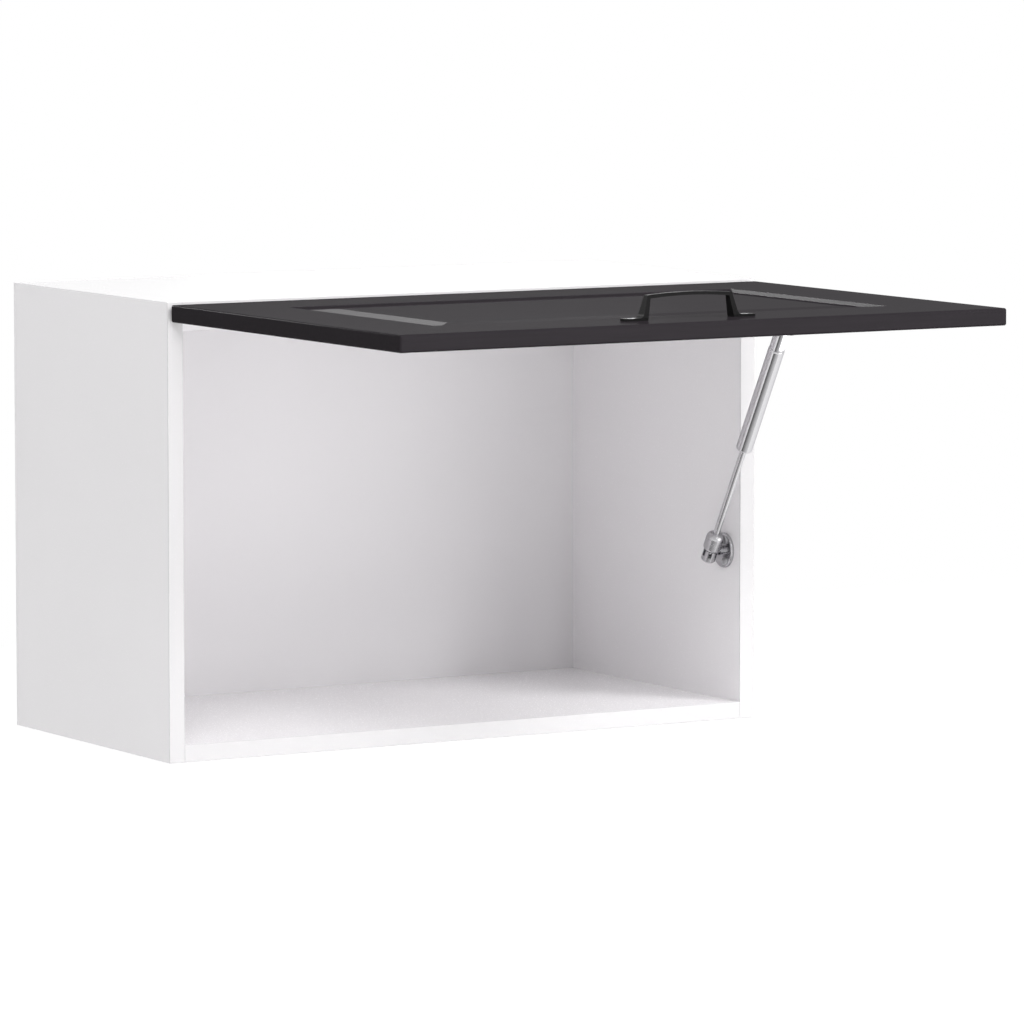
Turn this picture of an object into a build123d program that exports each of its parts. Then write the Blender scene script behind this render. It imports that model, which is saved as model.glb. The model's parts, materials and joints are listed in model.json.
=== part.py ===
from build123d import *
import math
import os

# Kitchen wall cabinet with a lift-up door on two concealed hinges and one gas strut.
# Millimetres. X runs to the right, Y into the wall, Z up. The origin lies on the wall plane,
# midway between the two wall screws. The door is modelled open, at a right angle to the front.

# Cabinet box
WIDTH = 600
HEIGHT = 400
DEPTH = 295
BOARD = 15
BACK_THICK = 3
BOARD_EDGE_R = 0.6

# Hanging rail and its two wall screws
RAIL_HEIGHT = 34
RAIL_THICK = 15
WALL_SCREW_SPACING = 500
WALL_SCREW_R = 3

# Flat-pack joints between the boards
DOWEL_R = 4
DOWEL_LENGTH = 30
DOWEL_IN_SIDE = 10
CAM_R = 7.5
CAM_DEPTH = 12.5
CAM_FROM_END = 34
CAM_SLOT = 7.4
CAM_DRIVE_WIDTH = 2
CAM_DRIVE_DEPTH = 3
BOLT_R = 3
BOLT_HEAD_R = 3.3
BOLT_HEAD_LENGTH = 4
BOLT_IN_SIDE = 11
JOINT_INSET = 60
DOWEL_FROM_BOLT = 32
RAIL_DOWEL_SPREAD = 16
SEAT_FIT = 0.02

# Small pan-head screws
SCREW_R = 1.75
SCREW_HEAD_R = 3.5
SCREW_HEAD_HEIGHT = 1.8
SCREW_DRIVE_WIDTH = 0.9
SCREW_DRIVE_LENGTH = 4
SCREW_DRIVE_DEPTH = 0.9
BACK_SCREW_LENGTH = 14
BACK_SCREW_COLUMNS = 4
BACK_SCREW_ROWS = 3
BACK_SCREW_HEAD_SINK = 1.9
BACK_SCREW_BELOW_RAIL = 20

# Door
DOOR_THICK = 15
REVEAL = 1.5
CLOSED_GAP = 2.5
OPEN_DROP = 2
DOOR_EDGE_R = 2
SWING_CLEARANCE = 0.5
FRAME_WIDTH = 74
GROOVE_DEPTH = 3
GROOVE_WALL = 1.5
GROOVE_FLOOR = 3
BEVEL_WIDTH = 27
FIELD_DROP = 0.6

# Bow handle
HANDLE_LENGTH = 128
HANDLE_HEIGHT = 22.8
HANDLE_ARCH = 1.8
HANDLE_STRAP = 2.8
HANDLE_GRIP_WIDTH = 5.5
HANDLE_FOOT_LENGTH = 17
HANDLE_FOOT_WIDTH = 10.5
HANDLE_TIP_WIDTH = 8.5
HANDLE_FOOT_THICK = 2.1
HANDLE_LEG_FOOT = 4.6
HANDLE_LEG_LEAN = 5.3
HANDLE_BEND_R = 4.5
HANDLE_SHOULDER_R = 4
HANDLE_INNER_BEND_R = 1.4
HANDLE_SCREW_SPACING = 112
HANDLE_SCREW_R = 1.8
HANDLE_SCREW_HEAD_R = 3.3
HANDLE_SCREW_BITE = 11

# Concealed hinges
HINGE_INSET = 90
CUP_R = 17.5
CUP_WALL = 0.8
CUP_FLOOR = 0.7
CUP_SEAT_WIDTH = 18.8
CUP_EAR_LENGTH = 6.5
FLANGE_THICK = 1.2
FLANGE_LENGTH = 60
FLANGE_WIDTH = 17
FLANGE_CORNER_R = 6
FLANGE_SCREW_SPACING = 48
FLANGE_SCREW_OFFSET = 6
FLANGE_SCREW_BITE = 10
KNUCKLE_R = 2.6
HINGE_PIN_R = 1.4
ARM_WIDTH = 12
ARM_THICK = 5
ARM_REACH = 52
ARM_CORNER_R = 3
SIDE_PLAY = 0.3
HINGE_GAP = 0.35
RUN_FIT = 0.05
PLATE_WIDTH = 15
PLATE_LENGTH = 44
PLATE_START = 14
PLATE_WING_SPAN = 46
PLATE_WING_WIDTH = 14
PLATE_WING_THICK = 2
PLATE_SCREW_SPACING = 32
PLATE_SCREW_SETBACK = 37
PLATE_SCREW_LENGTH = 13
ARM_SCREW_SETBACK = 46
ADJUSTER_SETBACK = 26
ARM_SCREW_R = 2
ARM_SCREW_HEAD_R = 3.6
ARM_SCREW_HEAD_HEIGHT = 2

# Gas strut
STRUT_FROM_SIDE = 15
STUD_SETBACK = 26
STRUT_LENGTH = 241
DOOR_STUD_REACH = 90
DOOR_STUD_DROP = 22
TUBE_R = 7.5
TUBE_WALL = 1.1
TUBE_SPARE = 3.3
TUBE_END_THICK = 4
TUBE_END_R = 2
TUBE_LIP = 1.6
TUBE_LIP_R = 2.4
TUBE_MOUTH_PLAY = 0.6
TUBE_TO_STUD = 20
GUIDE_LENGTH = 10
ROD_R = 3
PISTON_LENGTH = 6
PISTON_FROM_GUIDE = 1
LOWER_BALL_R = 4.2
LOWER_NECK_R = 2.1
STUD_SHOULDER_R = 4.5
STUD_SHOULDER_LENGTH = 3.5
DOME_R = 8
DOME_START = 1.5
DOME_LENGTH = 18
DOME_TOP_R = 5
DOME_FOOT_R = 3
ROD_IN_DOME = 10
CROWN_R = 6.6
CROWN_LENGTH = 11.5
CROWN_NOTCHES = 6
CROWN_NOTCH_WIDTH = 3
CROWN_NOTCH_DEPTH = 6
CROWN_EDGE_R = 1.5
PLATE_R = 16
PLATE_THICK = 3
PLATE_SCREW_CIRCLE_R = 11
PLATE_SCREWS = 3

# Strut head and its ball stud on the door
HEAD_R = 7
HEAD_EYE_R = 6
HEAD_WIDTH = 12
BALL_R = 3.5
BALL_NECK_R = 2
BALL_OFFSET = 1.5
BALL_FIT = 0.3
RELIEF_STEPS = 24
BRACKET_THICK = 2
BRACKET_PLATE_WIDTH = 18
BRACKET_PLATE_LENGTH = 30
BRACKET_TO_PLATE = 8
BRACKET_EAR_R = 6
BRACKET_SIDE_GAP = 0.5
BRACKET_SCREW_LENGTH = 10
BRACKET_SCREW_SPACING = 16

# Levels of the box and the door, worked out from the sizes above
TOP = BOARD + RAIL_HEIGHT / 2
BOTTOM = TOP - HEIGHT
FRONT = -DEPTH
REAR = -BACK_THICK
UNDER_TOP = TOP - BOARD
INNER_X = WIDTH / 2 - BOARD
DOOR_WIDTH = WIDTH - 2 * REVEAL
DOOR_HEIGHT = HEIGHT - 2 * REVEAL
DOOR_FACE = TOP - OPEN_DROP
DOOR_BACK = DOOR_FACE - DOOR_THICK


def open_gap():
    """Gap between the open door's edge and the box, for which the rounded edge just swings clear."""
    lift = OPEN_DROP - REVEAL
    half = (DOOR_THICK + CLOSED_GAP + lift) / 2 - DOOR_EDGE_R
    spare = CLOSED_GAP - SWING_CLEARANCE
    linear = half + spare
    constant = half**2 - spare * (DOOR_THICK + lift - 2 * DOOR_EDGE_R - SWING_CLEARANCE)
    return 2 * (linear - math.sqrt(linear**2 - constant))


OPEN_GAP = open_gap()
PIVOT_OUT = (DOOR_THICK + CLOSED_GAP + OPEN_GAP + OPEN_DROP - REVEAL) / 2
PIVOT_Y = FRONT - PIVOT_OUT
PIVOT_Z = TOP - REVEAL - PIVOT_OUT + OPEN_GAP
PIVOT_DEPTH = PIVOT_OUT - CLOSED_GAP
PIVOT_FROM_EDGE = PIVOT_OUT - OPEN_GAP
HINGE_EDGE = FRONT - OPEN_GAP
DOOR_END = HINGE_EDGE - DOOR_HEIGHT
DOOR_MIDDLE = (HINGE_EDGE + DOOR_END) / 2
HANDLE_Y = DOOR_END + FRAME_WIDTH / 2
HINGE_XS = (-WIDTH / 2 + HINGE_INSET, WIDTH / 2 - HINGE_INSET)
SIDES = (-1, 1)

# Strut line, from the stud on the side board to the ball stud on the door
STRUT_X = INNER_X - STRUT_FROM_SIDE
STUD_Y = FRONT + STUD_SETBACK
BALL_Y = HINGE_EDGE - DOOR_STUD_REACH
BALL_Z = DOOR_BACK - DOOR_STUD_DROP
STUD_Z = BALL_Z - math.sqrt(STRUT_LENGTH**2 - (STUD_Y - BALL_Y) ** 2)
STRUT_ANGLE = math.atan2(BALL_Z - STUD_Z, BALL_Y - STUD_Y)
CLOSED_BALL_Y = PIVOT_Y - (BALL_Z - PIVOT_Z)
CLOSED_BALL_Z = PIVOT_Z + (BALL_Y - PIVOT_Y)
CLOSED_LENGTH = math.hypot(CLOSED_BALL_Y - STUD_Y, CLOSED_BALL_Z - STUD_Z)
CLOSED_ANGLE = math.atan2(CLOSED_BALL_Z - STUD_Z, CLOSED_BALL_Y - STUD_Y)
STROKE = STRUT_LENGTH - CLOSED_LENGTH
PISTON_REACH = TUBE_LIP + GUIDE_LENGTH + PISTON_FROM_GUIDE + PISTON_LENGTH
DOME_TOP = DOME_START + DOME_LENGTH
TUBE_LENGTH = PISTON_REACH + STROKE + TUBE_SPARE + TUBE_END_THICK
TUBE_END = STRUT_LENGTH - TUBE_TO_STUD
TUBE_START = TUBE_END - TUBE_LENGTH
BRACKET_X = STRUT_X + TUBE_R + BRACKET_SIDE_GAP


def across(x):
    """Sketch plane square to X, with its own x and y along the world's Y and Z."""
    return Plane.YZ.offset(x)


def along_strut(distance):
    """Plane square to the strut, at a distance from the lower stud."""
    line = (0, math.cos(STRUT_ANGLE), math.sin(STRUT_ANGLE))
    start = Plane(origin=(STRUT_X, STUD_Y, STUD_Z), x_dir=(1, 0, 0), z_dir=line)
    return start.offset(distance)


def save(builder, name):
    builder.part.label = name
    export_step(builder.part, f"parts/{name}.step")


def joint_ys():
    """Places of the cam bolts along the depth of each board joint."""
    return (FRONT + JOINT_INSET, REAR - RAIL_THICK - JOINT_INSET)


def dowel_ys():
    front, rear = joint_ys()
    return (front + DOWEL_FROM_BOLT, rear - DOWEL_FROM_BOLT)


def board_middles():
    """Middle height of the top and bottom boards."""
    return (TOP - BOARD / 2, BOTTOM + BOARD / 2)


def rail_dowel_zs():
    return (-RAIL_DOWEL_SPREAD / 2, RAIL_DOWEL_SPREAD / 2)


def side_panel(side, name):
    inner = side * INNER_X
    low_x = min(inner, side * WIDTH / 2)
    with BuildPart() as panel:
        with BuildSketch(across(low_x)):
            with Locations(((FRONT + REAR) / 2, (TOP + BOTTOM) / 2)):
                Rectangle(DEPTH - BACK_THICK, HEIGHT)
        extrude(amount=BOARD)
        fillet(panel.faces().sort_by(Axis.Y)[0].edges(), radius=BOARD_EDGE_R)
        with BuildSketch(across(inner)):
            with Locations([(y, z) for y in joint_ys() for z in board_middles()]):
                Circle(BOLT_R + SEAT_FIT)
        extrude(amount=side * (BOLT_IN_SIDE + SEAT_FIT), mode=Mode.SUBTRACT)
        with BuildSketch(across(inner)):
            with Locations([(y, z) for y in dowel_ys() for z in board_middles()]):
                Circle(DOWEL_R + SEAT_FIT)
            with Locations([(REAR - RAIL_THICK / 2, z) for z in rail_dowel_zs()]):
                Circle(DOWEL_R + SEAT_FIT)
        extrude(amount=side * (DOWEL_IN_SIDE + SEAT_FIT), mode=Mode.SUBTRACT)
        with BuildSketch(Plane.XZ.offset(-REAR)):
            with Locations([(side * (WIDTH - BOARD) / 2, z) for z in back_screw_zs()]):
                Circle(SCREW_R + SEAT_FIT)
        extrude(amount=BACK_SCREW_LENGTH, mode=Mode.SUBTRACT)
        if side > 0:
            with BuildSketch(across(inner)):
                with Locations(plate_screw_places()):
                    Circle(SCREW_R + SEAT_FIT)
            extrude(amount=PLATE_SCREW_LENGTH - PLATE_THICK + SEAT_FIT, mode=Mode.SUBTRACT)
    save(panel, name)


def shelf_board(middle_z, name, hinged):
    """Top or bottom board: cam bores in its underside, bolt and dowel holes in its ends."""
    width = 2 * INNER_X
    underside = Plane.XY.offset(middle_z - BOARD / 2)
    with BuildPart() as board:
        with BuildSketch(underside):
            with Locations((0, (FRONT + REAR) / 2)):
                Rectangle(width, DEPTH - BACK_THICK)
        extrude(amount=BOARD)
        fillet(board.faces().sort_by(Axis.Y)[0].edges().filter_by(Axis.X), radius=BOARD_EDGE_R)
        with BuildSketch(underside):
            with Locations(cam_places()):
                Circle(CAM_R + SEAT_FIT)
        extrude(amount=CAM_DEPTH + SEAT_FIT, mode=Mode.SUBTRACT)
        for side in SIDES:
            with BuildSketch(across(side * INNER_X)):
                with Locations([(y, middle_z) for y in joint_ys()]):
                    Circle(BOLT_R + SEAT_FIT)
            extrude(amount=-side * CAM_FROM_END, mode=Mode.SUBTRACT)
            with BuildSketch(across(side * INNER_X)):
                with Locations([(y, middle_z) for y in dowel_ys()]):
                    Circle(DOWEL_R + SEAT_FIT)
            extrude(amount=-side * (DOWEL_LENGTH - DOWEL_IN_SIDE + SEAT_FIT), mode=Mode.SUBTRACT)
        with BuildSketch(Plane.XZ.offset(-REAR)):
            with Locations([(x, middle_z) for x in back_screw_xs()]):
                Circle(SCREW_R + SEAT_FIT)
        extrude(amount=BACK_SCREW_LENGTH, mode=Mode.SUBTRACT)
        if hinged:
            with BuildSketch(underside):
                with Locations(hinge_plate_screw_places()):
                    Circle(SCREW_R + SEAT_FIT)
            extrude(amount=PLATE_SCREW_LENGTH - PLATE_WING_THICK + SEAT_FIT, mode=Mode.SUBTRACT)
            with BuildSketch(underside):
                with Locations([(x, FRONT + ARM_SCREW_SETBACK) for x in HINGE_XS]):
                    Circle(ARM_SCREW_R + SEAT_FIT)
            extrude(amount=ARM_SCREW_R, mode=Mode.SUBTRACT)
    save(board, name)


def cam_places():
    return [(side * (INNER_X - CAM_FROM_END), y) for side in SIDES for y in joint_ys()]


def back_screw_xs():
    """Screws along the top and bottom edges of the back panel."""
    span = WIDTH - 2 * JOINT_INSET
    step = span / (BACK_SCREW_COLUMNS - 1)
    return [-span / 2 + step * i for i in range(BACK_SCREW_COLUMNS)]


def back_screw_zs():
    """Screws along the two side edges of the back panel, between the bottom board and the rail."""
    low = BOTTOM + JOINT_INSET
    step = (-RAIL_HEIGHT / 2 - BACK_SCREW_BELOW_RAIL - low) / (BACK_SCREW_ROWS - 1)
    return [low + step * i for i in range(BACK_SCREW_ROWS)]


def back_screw_places():
    edges = [(x, z) for x in back_screw_xs() for z in board_middles()]
    sides = [(side * (WIDTH - BOARD) / 2, z) for side in SIDES for z in back_screw_zs()]
    return edges + sides


def back_panel():
    with BuildPart() as back:
        with BuildSketch(Plane.XZ):
            with Locations((0, (TOP + BOTTOM) / 2)):
                Rectangle(WIDTH, HEIGHT)
            with GridLocations(WALL_SCREW_SPACING, 1, 2, 1):
                Circle(WALL_SCREW_R, mode=Mode.SUBTRACT)
            with Locations(back_screw_places()):
                Circle(SCREW_R + SEAT_FIT, mode=Mode.SUBTRACT)
        extrude(amount=BACK_THICK)
        with BuildSketch(Plane.XZ):
            with Locations(back_screw_places()):
                Circle(SCREW_HEAD_R + SEAT_FIT)
        extrude(amount=BACK_SCREW_HEAD_SINK, mode=Mode.SUBTRACT)
    save(back, "back_panel")


def hanging_rail():
    with BuildPart() as rail:
        with BuildSketch(Plane.XZ.offset(-REAR)):
            Rectangle(2 * INNER_X, RAIL_HEIGHT)
            with GridLocations(WALL_SCREW_SPACING, 1, 2, 1):
                Circle(WALL_SCREW_R, mode=Mode.SUBTRACT)
        extrude(amount=RAIL_THICK)
        fillet(rail.faces().sort_by(Axis.Y)[0].edges().filter_by(Axis.X).sort_by(Axis.Z)[0],
               radius=BOARD_EDGE_R)
        for side in SIDES:
            with BuildSketch(across(side * INNER_X)):
                with Locations([(REAR - RAIL_THICK / 2, z) for z in rail_dowel_zs()]):
                    Circle(DOWEL_R + SEAT_FIT)
            extrude(amount=-side * (DOWEL_LENGTH - DOWEL_IN_SIDE + SEAT_FIT), mode=Mode.SUBTRACT)
    save(rail, "hanging_rail")


def dowels():
    with BuildPart() as pegs:
        for side in SIDES:
            with BuildSketch(across(side * (INNER_X + DOWEL_IN_SIDE))):
                with Locations([(y, z) for y in dowel_ys() for z in board_middles()]):
                    Circle(DOWEL_R)
                with Locations([(REAR - RAIL_THICK / 2, z) for z in rail_dowel_zs()]):
                    Circle(DOWEL_R)
            extrude(amount=-side * DOWEL_LENGTH)
    save(pegs, "dowels")


def cam_bolts():
    """Bolts screwed into the side boards, each with a round head that its cam pulls on."""
    with BuildPart() as bolts:
        for side in SIDES:
            places = [(y, z) for y in joint_ys() for z in board_middles()]
            with BuildSketch(across(side * (INNER_X + BOLT_IN_SIDE))):
                with Locations(places):
                    Circle(BOLT_R)
            extrude(amount=-side * (BOLT_IN_SIDE + CAM_FROM_END - BOLT_HEAD_LENGTH / 2))
            with BuildSketch(across(side * (INNER_X - CAM_FROM_END + BOLT_HEAD_LENGTH / 2))):
                with Locations(places):
                    Circle(BOLT_HEAD_R)
            extrude(amount=-side * BOLT_HEAD_LENGTH)
    save(bolts, "cam_bolts")


def cam_locks():
    """Round cams in the boards' undersides, slotted for the bolt and cross-slotted to turn."""
    with BuildPart() as cams:
        for middle_z in board_middles():
            underside = Plane.XY.offset(middle_z - BOARD / 2)
            with BuildSketch(underside):
                with Locations(cam_places()):
                    Circle(CAM_R)
            extrude(amount=CAM_DEPTH)
            for side in SIDES:
                with BuildSketch(Plane.XY.offset(middle_z - CAM_SLOT / 2)):
                    slot_x = side * (INNER_X - CAM_FROM_END + CAM_R / 2)
                    with Locations([(slot_x, y) for y in joint_ys()]):
                        Rectangle(CAM_R * 2, CAM_SLOT)
                extrude(amount=CAM_DEPTH + BOARD, mode=Mode.SUBTRACT)
            with BuildSketch(underside):
                with Locations(cam_places()):
                    Rectangle(CAM_R, CAM_DRIVE_WIDTH)
                    Rectangle(CAM_DRIVE_WIDTH, CAM_R)
            extrude(amount=CAM_DRIVE_DEPTH, mode=Mode.SUBTRACT)
    save(cams, "cam_locks")


def screw_set(name, plane, places, length, shank_r=SCREW_R, head_r=SCREW_HEAD_R,
              head_height=SCREW_HEAD_HEIGHT):
    """Pan-head screws: shanks along the plane's normal, heads behind the plane, cross slots."""
    with BuildPart() as screws:
        with BuildSketch(plane):
            with Locations(places):
                Circle(shank_r)
        extrude(amount=length)
        with BuildSketch(plane.offset(-head_height)):
            with Locations(places):
                Circle(head_r)
        extrude(amount=head_height)
        with BuildSketch(plane.offset(-head_height)):
            with Locations(places):
                Rectangle(SCREW_DRIVE_LENGTH, SCREW_DRIVE_WIDTH)
                Rectangle(SCREW_DRIVE_WIDTH, SCREW_DRIVE_LENGTH)
        extrude(amount=SCREW_DRIVE_DEPTH, mode=Mode.SUBTRACT)
    save(screws, name)


def back_screws():
    """Screws that hold the back panel to the boards, with their heads sunk below its face."""
    seat = Plane(origin=(0, -BACK_SCREW_HEAD_SINK, 0), x_dir=(1, 0, 0), z_dir=(0, -1, 0))
    screw_set("back_screws", seat, back_screw_places(), BACK_SCREW_LENGTH - BACK_SCREW_HEAD_SINK)


def cup_centre_s():
    """Distance of the cup's centre from the door's hinge edge."""
    return PIVOT_FROM_EDGE - KNUCKLE_R - HINGE_GAP - CUP_WALL + CUP_R


def cup_depth():
    return PIVOT_DEPTH + KNUCKLE_R + HINGE_GAP + CUP_FLOOR


def cup_seat_s():
    """Square knuckle seat of the cup: its outer face and its inner end, from the hinge edge."""
    return (cup_centre_s() - CUP_R, PIVOT_FROM_EDGE + HINGE_PIN_R + CUP_EAR_LENGTH / 2)


def flange_screw_places():
    y = HINGE_EDGE - cup_centre_s() - FLANGE_SCREW_OFFSET
    return [(x + side * FLANGE_SCREW_SPACING / 2, y) for x in HINGE_XS for side in SIDES]


def hinge_plate_screw_places():
    y = FRONT + PLATE_SCREW_SETBACK
    return [(x + side * PLATE_SCREW_SPACING / 2, y) for x in HINGE_XS for side in SIDES]


def places_near(x, places):
    """Of the places at both hinges, those at the hinge on the same side as x."""
    return [place for place in places if place[0] * x > 0]


def arm_top():
    """Top of the hinge arm, just clear of the cup's flange when the door is open."""
    return PIVOT_Z - PIVOT_DEPTH - FLANGE_THICK - HINGE_GAP


def hinge_cup(x, name):
    """Pressed cup let into the door's back, with a screw flange and two ears for the pin."""
    seat_low, seat_high = cup_seat_s()
    centre = (x, HINGE_EDGE - cup_centre_s())
    flange_y = centre[1] - FLANGE_SCREW_OFFSET
    with BuildPart() as cup:
        with BuildSketch(Plane.XY.offset(DOOR_BACK)):
            with Locations(centre):
                Circle(CUP_R)
            with Locations((x, HINGE_EDGE - (seat_low + seat_high) / 2)):
                Rectangle(CUP_SEAT_WIDTH, seat_high - seat_low)
        extrude(amount=cup_depth())
        with BuildSketch(Plane.XY.offset(DOOR_BACK - FLANGE_THICK)):
            with Locations((x, flange_y)):
                RectangleRounded(FLANGE_LENGTH, FLANGE_WIDTH, FLANGE_CORNER_R)
            with Locations(centre):
                Circle(CUP_R + FLANGE_THICK)
            with Locations((x, HINGE_EDGE - (seat_low + seat_high) / 2)):
                Rectangle(CUP_SEAT_WIDTH, seat_high - seat_low)
        extrude(amount=FLANGE_THICK)
        with BuildSketch(Plane.XY.offset(DOOR_BACK - FLANGE_THICK)):
            with Locations(centre):
                Circle(CUP_R - CUP_WALL)
            with Locations((x, HINGE_EDGE - (seat_low + seat_high) / 2)):
                Rectangle(CUP_SEAT_WIDTH, seat_high - seat_low, mode=Mode.SUBTRACT)
            with Locations((x, HINGE_EDGE - seat_low - CUP_WALL - CUP_R / 2)):
                Rectangle(ARM_WIDTH + 2 * SIDE_PLAY, CUP_R)
        extrude(amount=FLANGE_THICK + cup_depth() - CUP_FLOOR, mode=Mode.SUBTRACT)
        with BuildSketch(across(x - CUP_SEAT_WIDTH / 2 + CUP_WALL)):
            with Locations((PIVOT_Y, PIVOT_Z)):
                Circle(HINGE_PIN_R + SEAT_FIT)
        extrude(amount=CUP_SEAT_WIDTH - 2 * CUP_WALL, mode=Mode.SUBTRACT)
        with BuildSketch(Plane.XY.offset(DOOR_BACK - FLANGE_THICK)):
            with Locations(places_near(x, flange_screw_places())):
                Circle(SCREW_R + SEAT_FIT)
        extrude(amount=FLANGE_THICK, mode=Mode.SUBTRACT)
    save(cup, name)


def hinge_pin(x, name):
    with BuildPart() as pin:
        with BuildSketch(across(x - CUP_SEAT_WIDTH / 2 + CUP_WALL + SEAT_FIT)):
            with Locations((PIVOT_Y, PIVOT_Z)):
                Circle(HINGE_PIN_R)
        extrude(amount=CUP_SEAT_WIDTH - 2 * (CUP_WALL + SEAT_FIT))
    save(pin, name)


def hinge_arm(x, name):
    """Cranked arm: along under the top board, past its front edge and up into the cup."""
    top = arm_top()
    bottom = top - ARM_THICK
    tip = PIVOT_Y - KNUCKLE_R
    tail = FRONT + ARM_REACH
    with BuildPart() as arm:
        with BuildSketch(across(x - ARM_WIDTH / 2)):
            with Locations((PIVOT_Y, PIVOT_Z)):
                Circle(KNUCKLE_R)
            with Locations((PIVOT_Y, (bottom + PIVOT_Z) / 2)):
                Rectangle(2 * KNUCKLE_R, PIVOT_Z - bottom)
            with Locations(((tip + tail) / 2, (bottom + top) / 2)):
                Rectangle(tail - tip, ARM_THICK)
        extrude(amount=ARM_WIDTH)
        crank = arm.edges().filter_by(Axis.X).group_by(Axis.Z)[0].sort_by(Axis.Y)[0]
        fillet(crank, radius=ARM_CORNER_R)
        tail_edges = arm.faces().sort_by(Axis.Y)[-1].edges().filter_by(Axis.Z)
        fillet(tail_edges, radius=ARM_CORNER_R)
        with BuildSketch(across(x - ARM_WIDTH / 2)):
            with Locations((PIVOT_Y, PIVOT_Z)):
                Circle(HINGE_PIN_R + RUN_FIT)
        extrude(amount=ARM_WIDTH, mode=Mode.SUBTRACT)
        with BuildSketch(Plane.XY.offset(bottom)):
            with Locations((x, FRONT + ARM_SCREW_SETBACK), (x, FRONT + ADJUSTER_SETBACK)):
                Circle(ARM_SCREW_R + SEAT_FIT)
        extrude(amount=ARM_THICK, mode=Mode.SUBTRACT)
    save(arm, name)


def hinge_plate(x, name):
    """Mounting plate under the top board: a block for the arm and two thin screw wings."""
    block_height = UNDER_TOP - arm_top()
    with BuildPart() as plate:
        with BuildSketch(Plane.XY.offset(arm_top())):
            with Locations((x, FRONT + PLATE_START + PLATE_LENGTH / 2)):
                RectangleRounded(PLATE_WIDTH, PLATE_LENGTH, ARM_CORNER_R)
        extrude(amount=block_height)
        with BuildSketch(Plane.XY.offset(UNDER_TOP - PLATE_WING_THICK)):
            with Locations((x, FRONT + PLATE_SCREW_SETBACK)):
                SlotOverall(PLATE_WING_SPAN, PLATE_WING_WIDTH)
        extrude(amount=PLATE_WING_THICK)
        with BuildSketch(Plane.XY.offset(arm_top())):
            with Locations(places_near(x, hinge_plate_screw_places())):
                Circle(SCREW_R + SEAT_FIT)
            with Locations((x, FRONT + ARM_SCREW_SETBACK), (x, FRONT + ADJUSTER_SETBACK)):
                Circle(ARM_SCREW_R + SEAT_FIT)
        extrude(amount=block_height, mode=Mode.SUBTRACT)
    save(plate, name)


def hinge_screws():
    under_wing = Plane.XY.offset(UNDER_TOP - PLATE_WING_THICK)
    screw_set("hinge_plate_screws", under_wing, hinge_plate_screw_places(), PLATE_SCREW_LENGTH)
    under_flange = Plane.XY.offset(DOOR_BACK - FLANGE_THICK)
    screw_set("hinge_cup_screws", under_flange, flange_screw_places(), FLANGE_THICK + FLANGE_SCREW_BITE)
    under_arm = Plane.XY.offset(arm_top() - ARM_THICK)
    setbacks = (ARM_SCREW_SETBACK, ADJUSTER_SETBACK)
    places = [(x, FRONT + setback) for x in HINGE_XS for setback in setbacks]
    length = ARM_THICK + UNDER_TOP - arm_top()
    screw_set("hinge_arm_screws", under_arm, places, length, ARM_SCREW_R, ARM_SCREW_HEAD_R,
              ARM_SCREW_HEAD_HEIGHT)


def plate_screw_places():
    """Screw places on the strut's base plate, as depth and height."""
    turns = [2 * math.pi * i / PLATE_SCREWS for i in range(PLATE_SCREWS)]
    reach = PLATE_SCREW_CIRCLE_R
    return [(STUD_Y + reach * math.cos(turn), STUD_Z + reach * math.sin(turn)) for turn in turns]


def strut_base():
    """Round plate on the right side board, with the ball stud that the strut turns on."""
    plate_face = INNER_X - PLATE_THICK
    shoulder_x = plate_face - STUD_SHOULDER_LENGTH
    neck_start = STRUT_X + math.sqrt(LOWER_BALL_R**2 - LOWER_NECK_R**2)
    with BuildPart() as plate:
        with BuildSketch(across(plate_face)):
            with Locations((STUD_Y, STUD_Z)):
                Circle(PLATE_R)
            with Locations((STUD_Y, STUD_Z)):
                Circle(LOWER_NECK_R + SEAT_FIT, mode=Mode.SUBTRACT)
            with Locations(plate_screw_places()):
                Circle(SCREW_R + SEAT_FIT, mode=Mode.SUBTRACT)
        extrude(amount=PLATE_THICK)
        rim = plate.faces().sort_by(Axis.X)[0].edges().sort_by(SortBy.LENGTH)[-1]
        fillet(rim, radius=PLATE_THICK / 2)
    save(plate, "strut_base_plate")
    with BuildPart() as stud:
        with BuildSketch(Plane.XY.offset(STUD_Z)):
            with BuildLine():
                ThreePointArc(
                    (STRUT_X - LOWER_BALL_R, STUD_Y), (STRUT_X, STUD_Y + LOWER_BALL_R),
                    (neck_start, STUD_Y + LOWER_NECK_R),
                )
                Polyline(
                    (neck_start, STUD_Y + LOWER_NECK_R), (shoulder_x, STUD_Y + LOWER_NECK_R),
                    (shoulder_x, STUD_Y + STUD_SHOULDER_R), (plate_face, STUD_Y + STUD_SHOULDER_R),
                    (plate_face, STUD_Y + LOWER_NECK_R), (INNER_X, STUD_Y + LOWER_NECK_R),
                    (INNER_X, STUD_Y), (STRUT_X - LOWER_BALL_R, STUD_Y),
                )
            make_face()
        revolve(axis=Axis((STRUT_X, STUD_Y, STUD_Z), (1, 0, 0)))
    save(stud, "strut_stud")
    screws_seat = Plane(origin=(plate_face, 0, 0), x_dir=(0, 1, 0), z_dir=(1, 0, 0))
    screw_set("strut_base_screws", screws_seat, plate_screw_places(), PLATE_SCREW_LENGTH)


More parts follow.
